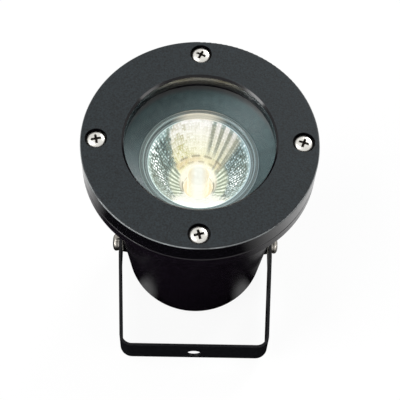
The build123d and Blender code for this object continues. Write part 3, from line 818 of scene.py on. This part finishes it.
def bowl_shell_skin():
    """The rest of the reflector: the neck, the outside of the bowl and the stepped rim up to the mouth.

    The outline runs down the neck, under it, up the outer parabola, round the rim and its two fine
    grooves, and down the seat of the cover glass to the mouth. A point of it is a radius, a height and
    two levels of light: sea green along the sides, which turns bluer and weaker to the right, and cream
    at the back. The points inside the neck are cream all round.
    """
    sizes = bpy.context.scene.spotlight_sizes
    low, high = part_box("lamp_reflector")
    high.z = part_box("lamp_front_glass")[1].z
    mouth_height = high.z - sizes.bowl_mouth
    bottom = mouth_height - sizes.bowl_radius ** 2 / (4 * sizes.bowl_focus)
    neck_top = bottom + sizes.neck_radius ** 2 / (4 * sizes.bowl_focus)
    edge, neck_points = 0.35 * MM, 4
    rim_low = high.z - sizes.rim_height
    shoulder_radius = np.sqrt(4 * sizes.bowl_focus * (rim_low - bottom + sizes.bowl_wall))
    outer_radii = np.linspace(sizes.collar_radius, shoulder_radius, 24)
    outer_heights = bottom - sizes.bowl_wall + outer_radii ** 2 / (4 * sizes.bowl_focus)
    seat = high.z - sizes.cover_depth
    profile = [
        (sizes.neck_radius, neck_top, 0.12, 0.12),
        (sizes.neck_radius, neck_top - 0.35 * MM, 0.15, 0.15),
        (sizes.neck_radius, neck_top - 0.6 * MM, 0.8, 0.8),
        (sizes.neck_radius, low.z, 0.65, 0.65),
        (sizes.collar_radius, low.z, 0.0, 0.0),
        *[(r, h, 0.0, 0.0) for r, h in zip(outer_radii, outer_heights)],
        (high.x - edge, rim_low, 0.0, 0.0),
        (high.x, rim_low + edge, 0.0, 0.0),
        (high.x, high.z - edge, 0.1, 0.1),
        (high.x - edge * 0.3, high.z - edge * 0.3, 0.36, 0.75),
        (high.x - edge, high.z, 0.12, 0.16),
        (high.x - edge * 2.2, high.z, 0.03, 0.08),
        (sizes.cover_radius + 0.75 * MM, high.z, 0.1, 0.12),
        (sizes.cover_radius + 0.55 * MM, high.z - 0.2 * MM, 0.02, 0.06),
        (sizes.cover_radius + 0.35 * MM, high.z, 0.4, 0.3),
        (sizes.cover_radius, high.z, 0.24, 0.7),
        (sizes.cover_radius, seat, 0.03, 0.5),
        (sizes.bowl_radius + 1.3 * MM, seat, 0.03, 0.5),
        (sizes.bowl_radius + 1.0 * MM, seat, 0.3, 0.62),
        (sizes.bowl_radius + 0.75 * MM, seat, 0.06, 0.5),
        (sizes.bowl_radius + 0.4 * MM, seat, 0.16, 0.5),
        (sizes.bowl_radius + 0.15 * MM, seat, 0.8, 0.8),
        (sizes.bowl_radius, mouth_height, 0.9, 0.95),
    ]
    radii, heights, side_level, back_level = np.array(profile).T
    sectors = FACET_STEPS * sizes.facet_columns
    turn = np.linspace(0, 2 * np.pi, sectors, endpoint=False)
    from_back = np.abs(np.angle(np.exp(1j * (turn - np.pi / 2))))
    cream = (1.0, 0.9, 0.72)
    left, right = np.array([0.76, 0.97, 0.93]), np.array([0.66, 0.86, 0.92])
    green = left + (0.5 + 0.5 * np.cos(turn))[:, None] * (right - left)
    at_back = 1 - smooth_step(from_back, 0.15, 0.6)
    in_neck = np.arange(len(profile)) < neck_points
    share = np.maximum(at_back[None, :], in_neck[:, None])[..., None]
    side = side_level[:, None, None] * green[None]
    light = side + share * (back_level[:, None, None] * cream - side)
    return skin(turned_rows(radii, heights, sectors), capped=False), opaque(light)


class SPOTLIGHT_OT_lamp(bpy.types.Operator):
    """Builds the lit reflector lamp behind the lens"""

    bl_idname = "spotlight.lamp"
    bl_label = "Reflector Lamp"

    def execute(self, context):
        bowl, inner_light = bowl_skin()
        shell, outer_light = bowl_shell_skin()
        parts = [(bowl, 0, inner_light), (shell, 1, outer_light)]
        make_piece(
            "lamp_bowl", parts, [dichroic_mirror(), pressed_glass()],
            "lamp_head", "lamp_reflector", "light", "FLOAT_COLOR",
        )
        dress(clear_glass("lamp_cover_glass", linear("#fefefe")), "lamp_front_glass")
        dress(lit_quartz(), "lamp_capsule")
        dress(hot_tungsten(), "lamp_filament")
        dress(lit_steatite(), "lamp_base")
        dress(steatite(), "lamp_holder")
        dress(pin_wire(), "lamp_pins")
        return {"FINISHED"}


class SPOTLIGHT_OT_wiring(bpy.types.Operator):
    """Finishes the holder, its bridge, the terminal block and the leads"""

    bl_idname = "spotlight.wiring"
    bl_label = "Holder and Wiring"

    def execute(self, context):
        dress(turned_brass(), "holder_contacts", "terminal_tubes")
        dress(
            zinc_plated_steel(), "holder_screws", "holder_nuts", "holder_bridge", "bridge_screws",
            "terminal_screws", "block_screw",
        )
        dress(natural_nylon(), "terminal_block", "pivot_washers")
        dress(silicone_sleeve(), "lamp_leads")
        return {"FINISHED"}


class SPOTLIGHT_OT_gland(bpy.types.Operator):
    """Finishes the cable gland in the rear end"""

    bl_idname = "spotlight.gland"
    bl_label = "Cable Gland"

    def execute(self, context):
        dress(black_nylon(), "gland_body", "gland_lock_nut", "gland_nut")
        dress(black_rubber(), "gland_o_ring", "gland_seal")
        return {"FINISHED"}


class SPOTLIGHT_OT_screws(bpy.types.Operator):
    """Builds the face screws and the pivot screws with their cross recesses"""

    bl_idname = "spotlight.screws"
    bl_label = "Screws"

    def execute(self, context):
        sizes = context.scene.spotlight_sizes
        steel = stainless_steel("stainless_steel", "#d2d0ca")
        # painted shade: the pivot screws and their washers take a darker copy of the same steel
        shaded_steel = stainless_steel("shaded_stainless_steel", "#96928b")
        low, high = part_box("face_screws")
        seat = high.z - sizes.head_height
        circle = high.x - sizes.head_radius
        face_parts, pivot_parts = [], []
        for k, turn in enumerate(FACE_SCREW_TURNS):
            place = Matrix.Rotation(np.pi / 2 * k, 4, "Z") @ Matrix.Translation((circle, 0, seat))
            face_parts.append(placed_screw(seat - low.z, turn, place))
        low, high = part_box("pivot_screws")
        seat = high.x - sizes.head_height
        height = (low.z + high.z) / 2
        length = seat - least_reach("pivot_screws")
        for side in (1, -1):
            place = Matrix.Translation((side * seat, 0, height)) @ Matrix.Rotation(side * np.pi / 2, 4, "Y")
            pivot_parts.append(placed_screw(length, PIVOT_SCREW_TURN, place))
        for name, parts, metal, replaced in (
            ("face_screw_set", face_parts, steel, "face_screws"),
            ("pivot_screw_set", pivot_parts, shaded_steel, "pivot_screws"),
        ):
            # the recess attribute also carries the painted shade in the cross recesses
            make_piece(name, parts, [metal], "lamp_head", replaced, "recess", "FLOAT")
        dress(shaded_steel, "pivot_lock_washers")
        return {"FINISHED"}


class SPOTLIGHT_OT_bracket(bpy.types.Operator):
    """Finishes the bent strip bracket"""

    bl_idname = "spotlight.bracket"
    bl_label = "Bracket"

    def execute(self, context):
        dress(black_strip_coat(), "mounting_bracket")
        return {"FINISHED"}


def area_light(name, place, width, height, power):
    """A soft box at a place, turned to face the target."""
    lamp = bpy.data.lights.new(name, "AREA")
    lamp.shape = "RECTANGLE"
    lamp.size, lamp.size_y, lamp.energy = width, height, power
    made = bpy.data.objects.new(name, lamp)
    made.location = place
    made.rotation_euler = (Vector(BOX_TARGET) - Vector(place)).to_track_quat("-Z", "Y").to_euler()
    bpy.context.scene.collection.objects.link(made)


def paper_white():
    """Matte white paper, lit so that it keeps the object's shadow. The camera sees most of it as plain
    white, and mirrors and glass see a part of it so."""
    seen_white, mirrored_white = 0.92, 0.35
    material, tree, place = start_material("white_paper")
    pattern = grain(tree, place, 30 * MM)
    paper = add_node(
        tree, "ShaderNodeBsdfDiffuse", links={"Color": tinted(tree, pattern, (0.9, 0.9, 0.9), 0.01)}
    )
    white = add_node(tree, "ShaderNodeEmission", {"Color": (1, 1, 1, 1), "Strength": 1.0})
    path = add_node(tree, "ShaderNodeLightPath")
    mirrored = add_node(
        tree, "ShaderNodeMath",
        links={0: path.outputs["Is Glossy Ray"], 1: path.outputs["Is Transmission Ray"]}, operation="MAXIMUM",
    )
    mirrored = add_node(
        tree, "ShaderNodeMath", {1: mirrored_white}, {0: mirrored.outputs[0]}, operation="MULTIPLY"
    )
    direct = add_node(
        tree, "ShaderNodeMath", {1: seen_white}, {0: path.outputs["Is Camera Ray"]}, operation="MULTIPLY"
    )
    share = add_node(
        tree, "ShaderNodeMath", links={0: mirrored.outputs[0], 1: direct.outputs[0]}, operation="MAXIMUM"
    )
    mix = add_node(
        tree, "ShaderNodeMixShader",
        links={0: share.outputs[0], 1: paper.outputs["BSDF"], 2: white.outputs["Emission"]},
    )
    return end_material(material, mix.outputs["Shader"])


def black_card():
    """Black card laid in front of the lamp to keep its glossy cup dark, as a studio flag does. It thins
    out away from a point in front of the lamp, so that what it darkens has a soft edge, and two soft
    windows beside the cup's foot let a grey glow back in."""
    centre, dense_to, clear_from = (-27 * MM, -70 * MM, 0), 80 * MM, 125 * MM
    window_x, window_y = 24.5 * MM, -21.5 * MM
    window_reach, window_core, window_share = 7.5 * MM, 2.5 * MM, 0.45
    material, tree, place = start_material("black_flag_card")
    card = add_node(tree, "ShaderNodeBsdfDiffuse", {"Color": (0.004, 0.004, 0.004, 1)})
    clear = add_node(tree, "ShaderNodeBsdfTransparent")
    away = add_node(tree, "ShaderNodeVectorMath", {1: centre}, {0: place}, operation="DISTANCE")
    thin = add_node(
        tree, "ShaderNodeMapRange", {"From Min": dense_to, "From Max": clear_from},
        {"Value": away.outputs["Value"]},
    ).outputs["Result"]
    for side in (-1, 1):
        middle = (side * window_x, window_y, 0)
        away = add_node(tree, "ShaderNodeVectorMath", {1: middle}, {0: place}, operation="DISTANCE")
        window = add_node(
            tree, "ShaderNodeMapRange",
            {"From Min": window_reach, "From Max": window_core, "To Max": window_share},
            {"Value": away.outputs["Value"]},
        )
        thin = add_node(
            tree, "ShaderNodeMath", links={0: thin, 1: window.outputs["Result"]}, operation="MAXIMUM"
        ).outputs["Value"]
    mix = add_node(
        tree, "ShaderNodeMixShader",
        links={0: thin, 1: card.outputs["BSDF"], 2: clear.outputs["BSDF"]},
    )
    return end_material(material, mix.outputs["Shader"])


def studio_world(context):
    """Soft even light all round, which cameras, mirrors and glass see as plain white."""
    daylight = 0.3
    world = bpy.data.worlds.new("studio")
    context.scene.world = world
    world.use_nodes = True
    tree = world.node_tree
    tree.nodes.clear()
    path = add_node(tree, "ShaderNodeLightPath")
    seen = path.outputs["Is Camera Ray"]
    for rays in ("Is Glossy Ray", "Is Transmission Ray"):
        seen = add_node(
            tree, "ShaderNodeMath", links={0: seen, 1: path.outputs[rays]}, operation="MAXIMUM"
        ).outputs["Value"]
    strength = add_node(
        tree, "ShaderNodeMapRange", {"To Min": daylight, "To Max": 1.0}, {"Value": seen}
    )
    back = add_node(
        tree, "ShaderNodeBackground", {"Color": (1, 1, 1, 1)}, {"Strength": strength.outputs["Result"]}
    )
    add_node(tree, "ShaderNodeOutputWorld", links={"Surface": back.outputs["Background"]})


def photo_camera(context):
    """The camera at the photograph's angle, from a perspective fit of the ring, screws and bracket.

    The camera stands back from the middle of the face along the viewing direction, moved sideways
    in its own plane so that the face lies where the photograph has it, and rolled a little.
    """
    azimuth, elevation, roll = np.radians((-2.016, 62.333, 2.902))
    distance, side, rise = 471.88 * MM, -0.036 * MM, -23.904 * MM
    focal_pixels = 1180.96
    back = Vector(
        (np.sin(azimuth) * np.cos(elevation), -np.cos(azimuth) * np.cos(elevation), np.sin(elevation))
    )
    level = Vector((np.cos(azimuth), np.sin(azimuth), 0))
    upright = back.cross(level)
    right = level * np.cos(roll) + upright * np.sin(roll)
    up = upright * np.cos(roll) - level * np.sin(roll)
    face = Vector((0, 0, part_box("face_ring")[1].z))
    camera = bpy.data.objects.new("camera", bpy.data.cameras.new("camera"))
    camera.data.sensor_width = 36.0
    camera.data.lens = focal_pixels / PHOTO_WIDTH * camera.data.sensor_width
    camera.data.clip_start = 0.01
    turn = Matrix((right, up, back)).transposed().to_4x4()
    camera.matrix_world = Matrix.Translation(face + back * distance + right * side + up * rise) @ turn
    context.scene.collection.objects.link(camera)
    context.scene.camera = camera


class SPOTLIGHT_OT_stage(bpy.types.Operator):
    """Lays the floor and sets the soft light and the camera"""

    bl_idname = "spotlight.stage"
    bl_label = "Floor, Light and Camera"

    def execute(self, context):
        photo_camera(context)
        studio_world(context)
        corners = [(x * FLOOR_REACH, y * FLOOR_REACH, 0) for x, y in ((-1, -1), (1, -1), (1, 1), (-1, 1))]
        floor = mesh_object("floor", corners, [(0, 1, 2, 3)], [paper_white()])
        circles = turned_rows((FLAG_OUTER, FLAG_INNER), (FLAG_HEIGHT, FLAG_HEIGHT), FLAG_SECTORS)
        flag = mesh_object("flag", *skin(circles, capped=False), [black_card()])
        flag.visible_camera = False
        flag.visible_shadow = False
        flag.visible_diffuse = False
        flag.visible_transmission = False
        for box in SOFT_BOXES:
            area_light(*box)
        context.scene.view_settings.view_transform = "Standard"
        return {"FINISHED"}


OPERATORS = (
    SPOTLIGHT_OT_cup,
    SPOTLIGHT_OT_window,
    SPOTLIGHT_OT_lamp,
    SPOTLIGHT_OT_wiring,
    SPOTLIGHT_OT_gland,
    SPOTLIGHT_OT_screws,
    SPOTLIGHT_OT_bracket,
    SPOTLIGHT_OT_stage,
)


class SPOTLIGHT_PT_panel(bpy.types.Panel):
    """Lists the steps of the build and the sizes and colours that they use"""

    bl_idname = "SPOTLIGHT_PT_panel"
    bl_label = "Submersible Spotlight"
    bl_space_type = "VIEW_3D"
    bl_region_type = "UI"
    bl_category = "Spotlight"

    def draw(self, context):
        for operator in OPERATORS:
            self.layout.operator(operator.bl_idname)
        for group in (context.scene.spotlight_sizes, context.scene.spotlight_colours):
            box = self.layout.box()
            for name in group.__annotations__:
                box.prop(group, name)


CLASSES = (SpotlightSizes, SpotlightColours, *OPERATORS, SPOTLIGHT_PT_panel)


def register():
    for one in CLASSES:
        bpy.utils.register_class(one)
    bpy.types.Scene.spotlight_sizes = PointerProperty(type=SpotlightSizes)
    bpy.types.Scene.spotlight_colours = PointerProperty(type=SpotlightColours)


def unregister():
    del bpy.types.Scene.spotlight_colours
    del bpy.types.Scene.spotlight_sizes
    for one in reversed(CLASSES):
        bpy.utils.unregister_class(one)


def main():
    register()
    for operator in OPERATORS:
        group, name = operator.bl_idname.split(".")
        getattr(getattr(bpy.ops, group), name)()
    bpy.context.view_layer.update()


if __name__ == "__main__":
    main()
